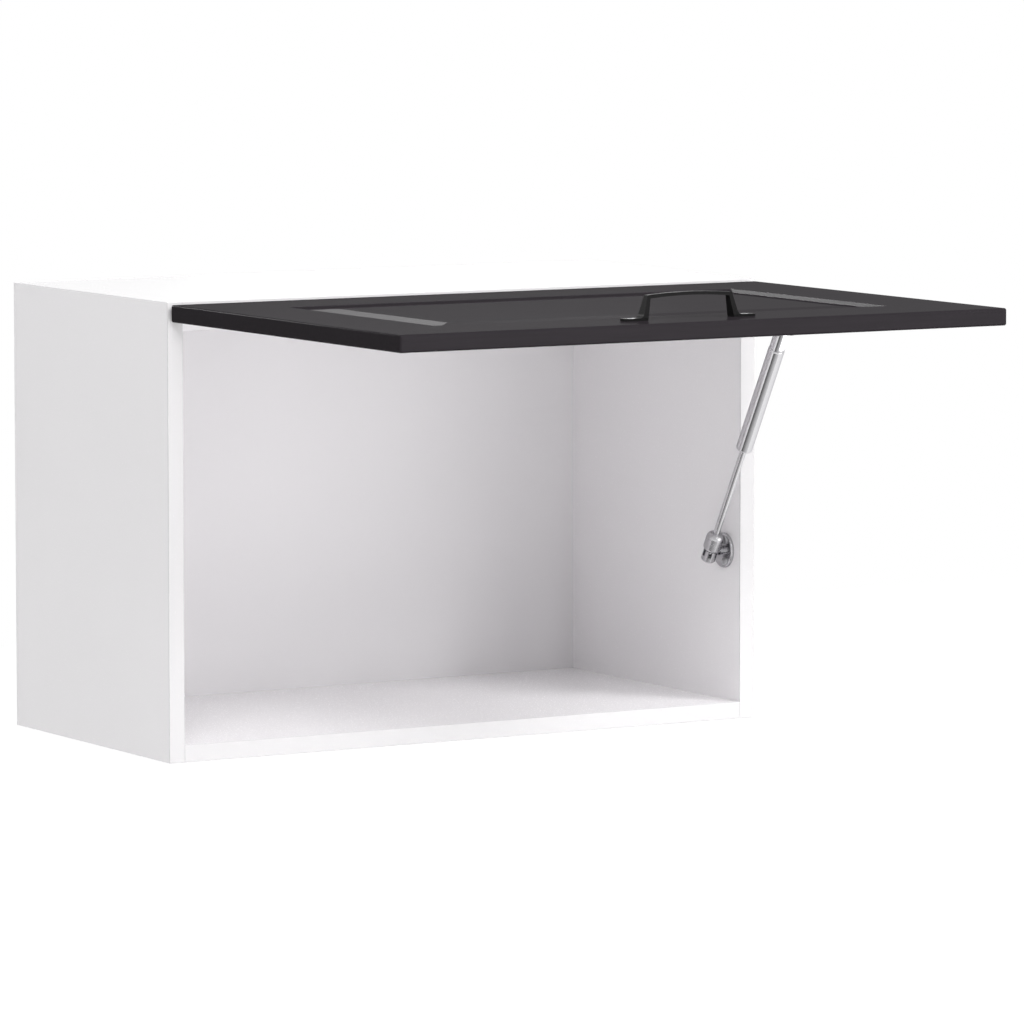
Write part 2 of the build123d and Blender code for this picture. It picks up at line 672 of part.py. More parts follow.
def strut_crown():
    """Castellated cup that closes the socket round the stud's ball, in line with the rod."""
    slot = LOWER_NECK_R + RUN_FIT
    seat = LOWER_BALL_R + RUN_FIT
    with BuildPart() as crown:
        with BuildSketch(along_strut(DOME_START - CROWN_LENGTH)):
            Circle(CROWN_R)
        extrude(amount=CROWN_LENGTH)
        fillet(crown.edges().filter_by(GeomType.CIRCLE).sort_by(Axis.Z)[0], radius=CROWN_EDGE_R)
        with BuildSketch(along_strut(-seat)):
            Circle(seat)
        extrude(amount=seat + DOME_START, mode=Mode.SUBTRACT)
        with BuildSketch(along_strut(DOME_START)):
            with PolarLocations(CROWN_R, CROWN_NOTCHES):
                Rectangle(CROWN_R, CROWN_NOTCH_WIDTH)
        extrude(amount=-CROWN_NOTCH_DEPTH, mode=Mode.SUBTRACT)
        with BuildSketch(along_strut(-slot)):
            with Locations((CROWN_R, 0)):
                Rectangle(2 * CROWN_R, 2 * slot)
        extrude(amount=slot + DOME_START, mode=Mode.SUBTRACT)
    save(crown, "strut_crown_nut")


def strut_socket():
    """Domed end fitting in line with the rod, with a round seat for the upper half of the ball."""
    seat = LOWER_BALL_R + RUN_FIT
    neck = LOWER_NECK_R + RUN_FIT
    with BuildPart() as socket:
        with BuildSketch(along_strut(DOME_START)):
            Circle(DOME_R)
        extrude(amount=DOME_LENGTH)
        ends = socket.edges().filter_by(GeomType.CIRCLE).sort_by(Axis.Z)
        fillet(ends[0], radius=DOME_FOOT_R)
        fillet(socket.edges().filter_by(GeomType.CIRCLE).sort_by(Axis.Z)[-1], radius=DOME_TOP_R)
        with Locations((STRUT_X, STUD_Y, STUD_Z)):
            Sphere(seat, mode=Mode.SUBTRACT)
        with BuildSketch(across(STRUT_X)):
            with Locations((STUD_Y, STUD_Z)):
                Circle(neck)
        extrude(amount=DOME_R, mode=Mode.SUBTRACT)
        with BuildSketch(along_strut(DOME_TOP - ROD_IN_DOME)):
            Circle(ROD_R + SEAT_FIT)
        extrude(amount=ROD_IN_DOME, mode=Mode.SUBTRACT)
    save(socket, "strut_socket")


def strut_rod():
    rod_start = DOME_TOP - ROD_IN_DOME + SEAT_FIT
    piston_start = TUBE_START + TUBE_LIP + GUIDE_LENGTH + PISTON_FROM_GUIDE
    with BuildPart() as rod:
        with BuildSketch(along_strut(rod_start)):
            Circle(ROD_R)
        extrude(amount=piston_start - rod_start)
    save(rod, "strut_rod")
    with BuildPart() as piston:
        with BuildSketch(along_strut(piston_start)):
            Circle(TUBE_R - TUBE_WALL - RUN_FIT)
        extrude(amount=PISTON_LENGTH)
    save(piston, "strut_piston")


def strut_tube():
    """Pressure tube: closed above, rolled in below over the rod guide."""
    with BuildPart() as tube:
        with BuildSketch(along_strut(TUBE_START)):
            Circle(TUBE_R)
        extrude(amount=TUBE_LENGTH)
        fillet(tube.edges().filter_by(GeomType.CIRCLE).sort_by(Axis.Z)[-1], radius=TUBE_END_R)
        fillet(tube.edges().filter_by(GeomType.CIRCLE).sort_by(Axis.Z)[0], radius=TUBE_LIP_R)
        with BuildSketch(along_strut(TUBE_START + TUBE_LIP)):
            Circle(TUBE_R - TUBE_WALL)
        extrude(amount=TUBE_LENGTH - TUBE_LIP - TUBE_END_THICK, mode=Mode.SUBTRACT)
        with BuildSketch(along_strut(TUBE_START)):
            Circle(ROD_R + TUBE_MOUTH_PLAY)
        extrude(amount=TUBE_LIP, mode=Mode.SUBTRACT)
    save(tube, "strut_tube")
    with BuildPart() as guide:
        with BuildSketch(along_strut(TUBE_START + TUBE_LIP)):
            Circle(TUBE_R - TUBE_WALL - SEAT_FIT)
            Circle(ROD_R + RUN_FIT, mode=Mode.SUBTRACT)
        extrude(amount=GUIDE_LENGTH)
    save(guide, "strut_rod_guide")


def ball_path_point(share):
    """Place of the door's ball seen from the strut head, part of the way to closed."""
    door_turn = share * math.pi / 2
    reach_y = BALL_Y - PIVOT_Y
    reach_z = BALL_Z - PIVOT_Z
    ball_y = PIVOT_Y + reach_y * math.cos(door_turn) - reach_z * math.sin(door_turn)
    ball_z = PIVOT_Z + reach_y * math.sin(door_turn) + reach_z * math.cos(door_turn)
    angle = STRUT_ANGLE + share * (CLOSED_ANGLE - STRUT_ANGLE)
    length = STRUT_LENGTH + share * (CLOSED_LENGTH - STRUT_LENGTH)
    off_y = ball_y - STUD_Y - length * math.cos(angle)
    off_z = ball_z - STUD_Z - length * math.sin(angle)
    back = STRUT_ANGLE - angle
    rest_y = off_y * math.cos(back) - off_z * math.sin(back)
    rest_z = off_y * math.sin(back) + off_z * math.cos(back)
    return (BALL_Y + rest_y, BALL_Z + rest_z)


def strut_head():
    """Upper end fitting: its inner half is whole, its outer half is relieved for the ball."""
    low_x = STRUT_X - HEAD_WIDTH / 2
    relief_x = STRUT_X + BALL_OFFSET - BALL_R - BALL_FIT
    path = [ball_path_point(step / RELIEF_STEPS) for step in range(RELIEF_STEPS)]
    with BuildPart() as head:
        with BuildSketch(along_strut(TUBE_END)):
            Circle(HEAD_R)
        extrude(amount=TUBE_TO_STUD - HEAD_EYE_R / 2)
        with BuildSketch(across(low_x)):
            with Locations((BALL_Y, BALL_Z)):
                Circle(HEAD_EYE_R)
        extrude(amount=HEAD_WIDTH)
        with BuildSketch(across(relief_x)):
            with Locations(path):
                Circle(BALL_R + BALL_FIT)
            make_hull()
        extrude(amount=HEAD_WIDTH, mode=Mode.SUBTRACT)
    save(head, "strut_head")


def strut_bracket():
    """Angle bracket on the door's back with a ball stud pointing into the strut head."""
    plate_near = BALL_Y - BRACKET_TO_PLATE
    plate_far = plate_near - BRACKET_PLATE_LENGTH
    ear_x = BRACKET_X
    plate_x = ear_x + BRACKET_THICK - BRACKET_PLATE_WIDTH / 2
    with BuildPart() as bracket:
        with BuildSketch(Plane.XY.offset(DOOR_BACK - BRACKET_THICK)):
            with Locations((plate_x, (plate_near + plate_far) / 2)):
                Rectangle(BRACKET_PLATE_WIDTH, BRACKET_PLATE_LENGTH)
            with Locations(bracket_screw_places()):
                Circle(SCREW_R + SEAT_FIT, mode=Mode.SUBTRACT)
        extrude(amount=BRACKET_THICK)
        with BuildSketch(across(ear_x)):
            with BuildLine():
                Polyline(
                    (plate_far, DOOR_BACK),
                    (BALL_Y + BRACKET_EAR_R, DOOR_BACK),
                    (BALL_Y + BRACKET_EAR_R, BALL_Z),
                    (BALL_Y - BRACKET_EAR_R, BALL_Z),
                    (plate_far, DOOR_BACK - BRACKET_THICK),
                    close=True,
                )
            make_face()
            with Locations((BALL_Y, BALL_Z)):
                Circle(BRACKET_EAR_R)
            with Locations((BALL_Y, BALL_Z)):
                Circle(BALL_NECK_R + SEAT_FIT, mode=Mode.SUBTRACT)
        extrude(amount=BRACKET_THICK)
    save(bracket, "strut_bracket")
    ball_x = STRUT_X + BALL_OFFSET
    neck_start = ball_x + math.sqrt(BALL_R**2 - BALL_NECK_R**2)
    neck_end = ear_x + BRACKET_THICK
    with BuildPart() as ball:
        with BuildSketch(Plane.XY.offset(BALL_Z)):
            with BuildLine():
                ThreePointArc(
                    (ball_x - BALL_R, BALL_Y), (ball_x, BALL_Y + BALL_R), (neck_start, BALL_Y + BALL_NECK_R)
                )
                Polyline(
                    (neck_start, BALL_Y + BALL_NECK_R),
                    (neck_end, BALL_Y + BALL_NECK_R),
                    (neck_end, BALL_Y),
                    (ball_x - BALL_R, BALL_Y),
                )
            make_face()
        revolve(axis=Axis((ball_x, BALL_Y, BALL_Z), (1, 0, 0)))
    save(ball, "strut_ball_stud")
    under_plate = Plane.XY.offset(DOOR_BACK - BRACKET_THICK)
    screw_set("strut_bracket_screws", under_plate, bracket_screw_places(), BRACKET_SCREW_LENGTH)


def bracket_screw_places():
    x = BRACKET_X + BRACKET_THICK - BRACKET_PLATE_WIDTH / 2
    middle = BALL_Y - BRACKET_TO_PLATE - BRACKET_PLATE_LENGTH / 2
    return [(x, middle + side * BRACKET_SCREW_SPACING / 2) for side in SIDES]


def handle_screw_places():
    return [(side * HANDLE_SCREW_SPACING / 2, HANDLE_Y) for side in SIDES]


def door_panel():
    """Framed door: a routed groove round a raised field, with pockets for the hinge cups."""
    seat_low, seat_high = cup_seat_s()
    field_width = DOOR_WIDTH - 2 * FRAME_WIDTH
    field_height = DOOR_HEIGHT - 2 * FRAME_WIDTH
    middle = (0, DOOR_MIDDLE)
    floor = DOOR_FACE - GROOVE_DEPTH
    with BuildPart() as door:
        with BuildSketch(Plane.XY.offset(DOOR_BACK)):
            with Locations(middle):
                Rectangle(DOOR_WIDTH, DOOR_HEIGHT)
        extrude(amount=DOOR_THICK)
        fillet(door.edges(), radius=DOOR_EDGE_R)
        with BuildSketch(Plane.XY.offset(floor)):
            with Locations(middle):
                Rectangle(field_width - 2 * GROOVE_WALL, field_height - 2 * GROOVE_WALL)
        with BuildSketch(Plane.XY.offset(DOOR_FACE)):
            with Locations(middle):
                Rectangle(field_width, field_height)
        loft(mode=Mode.SUBTRACT)
        foot = 2 * (GROOVE_WALL + GROOVE_FLOOR)
        crest = foot + 2 * BEVEL_WIDTH
        with BuildSketch(Plane.XY.offset(floor)):
            with Locations(middle):
                Rectangle(field_width - foot, field_height - foot)
        with BuildSketch(Plane.XY.offset(DOOR_FACE - FIELD_DROP)):
            with Locations(middle):
                Rectangle(field_width - crest, field_height - crest)
        loft()
        with BuildSketch(Plane.XY.offset(DOOR_BACK)):
            for x in HINGE_XS:
                with Locations((x, HINGE_EDGE - cup_centre_s())):
                    Circle(CUP_R + SEAT_FIT)
                with Locations((x, HINGE_EDGE - (seat_low + seat_high) / 2)):
                    Rectangle(CUP_SEAT_WIDTH + 2 * SEAT_FIT, seat_high - seat_low + 2 * SEAT_FIT)
        extrude(amount=cup_depth() + SEAT_FIT, mode=Mode.SUBTRACT)
        with BuildSketch(Plane.XY.offset(DOOR_BACK)):
            with Locations(flange_screw_places()):
                Circle(SCREW_R + SEAT_FIT)
        extrude(amount=FLANGE_SCREW_BITE + SEAT_FIT, mode=Mode.SUBTRACT)
        with BuildSketch(Plane.XY.offset(DOOR_BACK)):
            with Locations(bracket_screw_places()):
                Circle(SCREW_R + SEAT_FIT)
        extrude(amount=BRACKET_SCREW_LENGTH - BRACKET_THICK + SEAT_FIT, mode=Mode.SUBTRACT)
        with BuildSketch(Plane.XY.offset(DOOR_FACE)):
            with Locations(handle_screw_places()):
                Circle(HANDLE_SCREW_R + SEAT_FIT)
        extrude(amount=-HANDLE_SCREW_BITE - SEAT_FIT, mode=Mode.SUBTRACT)
    save(door, "door_panel")


def countersunk_outline(x, play):
    """Half of a countersunk screw's section, on the sketch's own x and y, round a line at x."""
    instep = DOOR_FACE + HANDLE_FOOT_THICK
    neck = instep - HANDLE_SCREW_HEAD_R + HANDLE_SCREW_R
    end = DOOR_FACE - HANDLE_SCREW_BITE
    shank_x = x + HANDLE_SCREW_R + play
    return [(x, instep), (x + HANDLE_SCREW_HEAD_R + play, instep), (shank_x, neck), (shank_x, end), (x, end)]


def handle():
    """Bow handle: a bent strap whose legs lean inwards and flare down to two flat feet."""
    tip = HANDLE_LENGTH / 2
    leg_out = tip - HANDLE_FOOT_LENGTH
    shoulder_out = leg_out - HANDLE_LEG_LEAN
    shoulder_in = shoulder_out - HANDLE_STRAP
    top = DOOR_FACE + HANDLE_HEIGHT
    shoulder = top - HANDLE_ARCH
    instep = DOOR_FACE + HANDLE_FOOT_THICK
    half_foot = HANDLE_FOOT_WIDTH / 2
    half_tip = HANDLE_TIP_WIDTH / 2
    half_grip = HANDLE_GRIP_WIDTH / 2
    with BuildPart() as bow:
        with BuildSketch(Plane.XZ.offset(-HANDLE_Y)) as side_shape:
            with BuildLine():
                outer = ThreePointArc((-shoulder_out, shoulder), (0, top), (shoulder_out, shoulder))
                Polyline(outer @ 1, (leg_out, instep), (tip, instep), (tip, DOOR_FACE),
                         (leg_out - HANDLE_LEG_FOOT, DOOR_FACE), (shoulder_in, shoulder - HANDLE_STRAP))
                inner = ThreePointArc((shoulder_in, shoulder - HANDLE_STRAP), (0, top - HANDLE_STRAP),
                                      (-shoulder_in, shoulder - HANDLE_STRAP))
                Polyline(inner @ 1, (HANDLE_LEG_FOOT - leg_out, DOOR_FACE), (-tip, DOOR_FACE),
                         (-tip, instep), (-leg_out, instep), outer @ 0)
            make_face()
            levels = side_shape.vertices().group_by(Axis.Y)
            fillet(levels[1].sort_by(Axis.X)[1:3], radius=HANDLE_BEND_R)
            fillet(levels[-1], radius=HANDLE_SHOULDER_R)
            fillet(levels[-2], radius=HANDLE_INNER_BEND_R)
        extrude(amount=half_foot, both=True)
        with BuildSketch(across(0)):
            with BuildLine():
                Polyline(
                    (HANDLE_Y - half_foot, DOOR_FACE), (HANDLE_Y - half_foot, instep),
                    (HANDLE_Y - half_grip, shoulder), (HANDLE_Y - half_grip, top + HANDLE_STRAP),
                    (HANDLE_Y + half_grip, top + HANDLE_STRAP), (HANDLE_Y + half_grip, shoulder),
                    (HANDLE_Y + half_foot, instep), (HANDLE_Y + half_foot, DOOR_FACE), close=True,
                )
            make_face()
        extrude(amount=tip, both=True, mode=Mode.INTERSECT)
        with BuildSketch(Plane.XY.offset(DOOR_FACE)):
            with BuildLine():
                Polyline(
                    (-tip, HANDLE_Y - half_tip), (-leg_out, HANDLE_Y - half_foot),
                    (leg_out, HANDLE_Y - half_foot), (tip, HANDLE_Y - half_tip),
                    (tip, HANDLE_Y + half_tip), (leg_out, HANDLE_Y + half_foot),
                    (-leg_out, HANDLE_Y + half_foot), (-tip, HANDLE_Y + half_tip), close=True,
                )
            make_face()
        extrude(amount=HANDLE_HEIGHT + HANDLE_STRAP, mode=Mode.INTERSECT)
        for x, y in handle_screw_places():
            with BuildSketch(Plane.XZ.offset(-y)):
                with BuildLine():
                    Polyline(*countersunk_outline(x, SEAT_FIT), close=True)
                make_face()
            revolve(axis=Axis((x, y, 0), (0, 0, 1)), mode=Mode.SUBTRACT)
    save(bow, "handle")


def handle_screws():
    """Countersunk wood screws through the handle's feet, flush with their upper faces."""
    instep = DOOR_FACE + HANDLE_FOOT_THICK
    with BuildPart() as screws:
        for x, y in handle_screw_places():
            with BuildSketch(Plane.XZ.offset(-y)):
                with BuildLine():
                    Polyline(*countersunk_outline(x, 0), close=True)
                make_face()
            revolve(axis=Axis((x, y, 0), (0, 0, 1)))
        with BuildSketch(Plane.XY.offset(instep)):
            with Locations(handle_screw_places()):
                Rectangle(SCREW_DRIVE_LENGTH, SCREW_DRIVE_WIDTH)
                Rectangle(SCREW_DRIVE_WIDTH, SCREW_DRIVE_LENGTH)
        extrude(amount=-SCREW_DRIVE_DEPTH, mode=Mode.SUBTRACT)
    save(screws, "handle_screws")


os.makedirs("parts", exist_ok=True)
side_panel(-1, "side_left")
side_panel(1, "side_right")
shelf_board(TOP - BOARD / 2, "top_board", True)
shelf_board(BOTTOM + BOARD / 2, "bottom_board", False)
back_panel()
hanging_rail()
dowels()
cam_bolts()
cam_locks()
back_screws()
for hinge_x, hinge_side in zip(HINGE_XS, ("left", "right")):
    hinge_cup(hinge_x, f"hinge_cup_{hinge_side}")
    hinge_pin(hinge_x, f"hinge_pin_{hinge_side}")
    hinge_arm(hinge_x, f"hinge_arm_{hinge_side}")
    hinge_plate(hinge_x, f"hinge_plate_{hinge_side}")
hinge_screws()
strut_base()
strut_crown()
strut_socket()
strut_rod()
strut_tube()
strut_head()
strut_bracket()
door_panel()
handle()
handle_screws()
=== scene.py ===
import json
import math

import bpy
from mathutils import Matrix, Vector

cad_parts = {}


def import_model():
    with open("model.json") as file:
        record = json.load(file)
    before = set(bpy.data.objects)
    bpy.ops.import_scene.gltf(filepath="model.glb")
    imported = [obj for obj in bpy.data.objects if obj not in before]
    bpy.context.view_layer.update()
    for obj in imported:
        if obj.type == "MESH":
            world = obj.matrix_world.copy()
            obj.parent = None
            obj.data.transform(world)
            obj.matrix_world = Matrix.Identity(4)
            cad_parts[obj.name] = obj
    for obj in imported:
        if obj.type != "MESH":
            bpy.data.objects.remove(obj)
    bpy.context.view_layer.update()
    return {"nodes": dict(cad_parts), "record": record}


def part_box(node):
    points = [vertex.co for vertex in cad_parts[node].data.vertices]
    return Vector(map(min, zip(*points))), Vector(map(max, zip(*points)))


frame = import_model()

# Camera, fitted to the corners of the box and the door
CAMERA_PLACE = (-3.0093, -5.4383, 0.4441)
CAMERA_YAW = 0.5358
CAMERA_PITCH = 0.1018
CAMERA_LENS = 237.97
SENSOR = 36.0
VIEW_END = 100.0

# Stage
FLOOR_Z = -1.25
FLOOR_SIZE = 14.0
FLOOR_COLOUR = (0.86, 0.86, 0.86)
FLOOR_GLOW = 0.9
FLOOR_MIX = 0.34

# Light
WHITE = (1.0, 1.0, 1.0, 1.0)
WORLD_STRENGTH = 0.4
KEY_PLACE = (2.1, -3.5, 0.0)
KEY_SIZE = (2.4, 1.8)
KEY_POWER = 32.0
HIGH_PLACE = (-0.2, -3.5, 1.95)
HIGH_SIZE = (1.8, 0.7)
HIGH_POWER = 60.0
SIDE_SIZE = (1.2, 0.8)
LEFT_PLACE = (-1.8, -2.6, 2.4)
LEFT_POWER = 53.0
RIGHT_PLACE = (1.8, -2.6, 2.4)
RIGHT_POWER = 76.0
RIM_PLACE = (1.38, 2.1, 0.565)
RIM_SIZE = (0.55, 0.16)
RIM_POWER = 2.2
LEFT_RIM_PLACE = (-0.8, 1.76, 1.09)
LEFT_RIM_SIZE = (0.3, 0.3)
LEFT_RIM_POWER = 10.0
AIM = (0.0, -0.3, -0.1)

# Grey card under the cabinet that only reflections see: it gives the strut its dark streak
CARD_PLACE = (-0.2, -0.7, -0.95)
CARD_SIZE = (1.3, 0.9)
CARD_DARK = 0.1
CARD_LIGHT = 0.85

# Levels read from the CAD: the boards' front edge, the box's top and the open door's underside
CAD_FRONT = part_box("bottom_board")[0].y
BOX_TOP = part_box("top_board")[1].z
DOOR_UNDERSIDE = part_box("door_panel")[0].z
EDGE_BAND_DEPTH = 0.0008
FACE_DEPTH = 0.0001

# Sockets of a colour mix, which share their names with those of the other mixes
MIX_FIRST = 6
MIX_SECOND = 7
MIX_RESULT = 2

# Textures: the middle range of a noise, over which tones and roughness change
NOISE_LOW = 0.3
NOISE_HIGH = 0.7

# Wear along edges, which on the door and the powder coat is also a painted highlight: how far the
# rounded normal leaves the face's own, and how patchy it is
WEAR_AND_HIGHLIGHT_SAMPLES = 4
WEAR_AND_HIGHLIGHT_START = 0.985
WEAR_AND_HIGHLIGHT_FULL = 0.8
WEAR_AND_HIGHLIGHT_PATCHES = {"scale": 120.0, "detail": 4.0}
WEAR_AND_HIGHLIGHT_PATCHY = (0.5, 1.0)

# Looks. Colours are linear. A noise has its scale, detail and roughness; a bump its strength and
# distance; wear its radius and amount, and on the door and the powder coat this edge mark is also
# a painted highlight; roughness runs from low to high.
BOARD_WHITE = (0.95, 0.935, 0.95)
BOARD_DIMMEST = 0.985
# Painted shade: the box's top face gets this darker grey in place of the board's white.
TOP_PAINTED_SHADE = (0.76, 0.75, 0.76)
# Front edge band: partly the band's own grey, partly painted shade that keeps the lit front edges
# darker than the interior.
SHADED_EDGE_BAND = (0.65, 0.64, 0.65)
WORN_BAND_FACTOR = 0.9
BOARD_CLOUD = {"scale": 6.0, "detail": 2.0}
BOARD_GRAIN = {"scale": 900.0, "detail": 4.0}
BOARD_ROUGHNESS = (0.2, 0.28)
BOARD_SPECULAR = 0.5
BOARD_BUMP = (0.12, 0.0002)
BOARD_WEAR = (0.0006, 0.35)

BACK_DIMMEST = 0.975
BACK_BRIGHTEST = 0.99
BACK_CLOUD = {"scale": 4.0, "detail": 3.0}
BACK_FIBRE = {"scale": 500.0, "detail": 5.0}
BACK_FIBRE_STRETCH = (1.0, 1.0, 0.5)
BACK_ROUGHNESS = (0.5, 0.62)
BACK_SPECULAR = 0.3
BACK_BUMP = (0.15, 0.0002)
BACK_WEAR = (0.0006, 0.3)

DOOR_BLACK = (0.0208, 0.018, 0.0208)
DOOR_DIMMEST = 0.94
DOOR_BRIGHTEST = 1.06
DOOR_BACK_WHITE = (0.84, 0.83, 0.84)
DOOR_STREAK = {"scale": 6.0, "detail": 4.0, "roughness": 0.6}
DOOR_STREAK_STRETCH = (3.0, 60.0, 60.0)
DOOR_GRAIN = {"scale": 1400.0, "detail": 3.0}
DOOR_GRAIN_STRETCH = (0.25, 1.0, 1.0)
DOOR_ROUGHNESS = (0.44, 0.5)
DOOR_SPECULAR = 0.0
DOOR_COAT = 0.065
DOOR_COAT_ROUGHNESS = 0.12
DOOR_BUMP = (0.1, 0.0001)
# Door edges: wear and a painted highlight, a lighter black along the rounded edges.
DOOR_EDGE_WEAR_AND_HIGHLIGHT = (0.0015, 0.8)
DOOR_HIGHLIGHT_AND_WEAR_FACTOR = 4.0

POWDER_DARK = (0.004, 0.004, 0.004)
POWDER_LIGHT = (0.008, 0.0075, 0.008)
POWDER_PEEL = {"scale": 700.0, "detail": 2.0}
POWDER_ROUGHNESS = (0.4, 0.47)
POWDER_SPECULAR = 0.08
POWDER_BUMP = (0.05, 0.0001)
# Powder-coat edges: wear and a painted highlight, a grey along the edges.
POWDER_EDGE_WEAR_AND_HIGHLIGHT = (0.0003, 0.45)
POWDER_HIGHLIGHT_AND_WEAR_TONE = (0.045, 0.044, 0.046)

METAL_BARE = (0.75, 0.75, 0.76)
METAL_EDGE_TINT = (0.7, 0.7, 0.72, 1.0)
METAL_DETAIL = 4.0
METAL_NOISE_ROUGHNESS = 0.6
METAL_BUMP_DISTANCE = 0.0001
METAL_WEAR = (0.0003, 0.5)

PLASTIC_DARK = (0.016, 0.016, 0.017)
PLASTIC_LIGHT = (0.024, 0.024, 0.025)
PLASTIC_SKIN = {"scale": 1200.0, "detail": 2.0}
PLASTIC_ROUGHNESS = (0.45, 0.6)
PLASTIC_BUMP = (0.1, 0.0001)
PLASTIC_WEAR = (0.0004, 0.6)
WORN_PLASTIC = (0.06, 0.06, 0.06)

BEECH_DARK = (0.46, 0.29, 0.16)
BEECH_LIGHT = (0.64, 0.45, 0.27)
BEECH_FLECK = {"scale": 900.0, "detail": 4.0}
BEECH_FLECK_STRETCH = (0.2, 1.0, 1.0)
BEECH_ROUGHNESS = (0.55, 0.7)
BEECH_BUMP = (0.2, 0.0002)
BEECH_WEAR = (0.0004, 0.5)
WORN_BEECH = (0.7, 0.52, 0.34)

# Pieces whose look differs from the rest of their slot
OWN_LOOK = {"strut_socket": "satin_steel", "strut_crown_nut": "satin_steel",
            "strut_base_plate": "satin_steel"}


def new_material(name):
    """Material with a Principled shader and object coordinates, ready for textures."""
    material = bpy.data.materials.new(name)
    material.use_nodes = True
    tree = material.node_tree
    shader = tree.nodes["Principled BSDF"]
    place = tree.nodes.new("ShaderNodeTexCoord")
    return material, tree, shader, place.outputs["Object"]


def stretched(tree, vector, scale):
    """Coordinates scaled along each axis, so a texture runs with the piece."""
    mapping = tree.nodes.new("ShaderNodeMapping")
    mapping.inputs["Scale"].default_value = scale
    tree.links.new(vector, mapping.inputs["Vector"])
    return mapping.outputs["Vector"]


def noise(tree, vector, scale, detail=3.0, roughness=0.5):
    node = tree.nodes.new("ShaderNodeTexNoise")
    node.inputs["Scale"].default_value = scale
    node.inputs["Detail"].default_value = detail
    node.inputs["Roughness"].default_value = roughness
    tree.links.new(vector, node.inputs["Vector"])
    return node.outputs["Fac"]


def tones(tree, value, low, high):
    """Colour that goes from low to high over a texture's middle range."""
    node = tree.nodes.new("ShaderNodeValToRGB")
    stops = zip(node.color_ramp.elements, (NOISE_LOW, NOISE_HIGH), (low, high))
    for element, place, colour in stops:
        element.position = place
        element.color = (*colour, 1.0)
    tree.links.new(value, node.inputs["Fac"])
    return node.outputs["Color"]


def spread(tree, value, low, high):
    """Maps a texture's middle range to low and high."""
    node = tree.nodes.new("ShaderNodeMapRange")
    node.inputs["From Min"].default_value = NOISE_LOW
    node.inputs["From Max"].default_value = NOISE_HIGH
    node.inputs["To Min"].default_value = low
    node.inputs["To Max"].default_value = high
    tree.links.new(value, node.inputs["Value"])
    return node.outputs["Result"]


def vary_roughness(tree, shader, value, low, high):
    tree.links.new(spread(tree, value, low, high), shader.inputs["Roughness"])


def bump(tree, shader, height, strength, distance):
    node = tree.nodes.new("ShaderNodeBump")
    node.inputs["Strength"].default_value = strength
    node.inputs["Distance"].default_value = distance
    tree.links.new(height, node.inputs["Height"])
    tree.links.new(node.outputs["Normal"], shader.inputs["Normal"])


def beyond(tree, place, axis, level, side="LESS_THAN"):
    """1 where the place lies beyond the level along one axis, otherwise 0."""
    parts = tree.nodes.new("ShaderNodeSeparateXYZ")
    tree.links.new(place, parts.inputs["Vector"])
    test = tree.nodes.new("ShaderNodeMath")
    test.operation = side
    test.inputs[1].default_value = level
    tree.links.new(parts.outputs[axis], test.inputs[0])
    return test.outputs[0]


def blend(tree, factor, colour, second):
    """The first colour, or the fixed second one where the factor is 1."""
    mix = tree.nodes.new("ShaderNodeMix")
    mix.data_type = "RGBA"
    tree.links.new(factor, mix.inputs["Factor"])
    tree.links.new(colour, mix.inputs[MIX_FIRST])
    mix.inputs[MIX_SECOND].default_value = (*second, 1.0)
    return mix.outputs[MIX_RESULT]


def shade(colour, factor):
    return tuple(channel * factor for channel in colour)


def edge_wear(tree, place, radius, amount):
    """0 on the faces, rising to the amount along edges, broken up by a patchy texture; on the door
    and the powder coat this edge mark is also a painted highlight.
    """
    rounded = tree.nodes.new("ShaderNodeBevel")
    rounded.samples = WEAR_AND_HIGHLIGHT_SAMPLES
    rounded.inputs["Radius"].default_value = radius
    flat = tree.nodes.new("ShaderNodeNewGeometry")
    likeness = tree.nodes.new("ShaderNodeVectorMath")
    likeness.operation = "DOT_PRODUCT"
    tree.links.new(rounded.outputs["Normal"], likeness.inputs[0])
    tree.links.new(flat.outputs["Normal"], likeness.inputs[1])
    edge = tree.nodes.new("ShaderNodeMapRange")
    edge.inputs["From Min"].default_value = WEAR_AND_HIGHLIGHT_START
    edge.inputs["From Max"].default_value = WEAR_AND_HIGHLIGHT_FULL
    edge.inputs["To Max"].default_value = amount
    tree.links.new(likeness.outputs["Value"], edge.inputs["Value"])
    patchy = tree.nodes.new("ShaderNodeMath")
    patchy.operation = "MULTIPLY"
    patches = noise(tree, place, **WEAR_AND_HIGHLIGHT_PATCHES)
    tree.links.new(edge.outputs["Result"], patchy.inputs[0])
    tree.links.new(spread(tree, patches, *WEAR_AND_HIGHLIGHT_PATCHY), patchy.inputs[1])
    return patchy.outputs[0]


def worn(tree, shader, place, tone, radius, amount, edge_tone):
    """Links the tone to the shader, going over to the edge colour along edges: wear, and on the
    door and the powder coat also a painted highlight.
    """
    wear = edge_wear(tree, place, radius, amount)
    tree.links.new(blend(tree, wear, tone, edge_tone), shader.inputs["Base Color"])


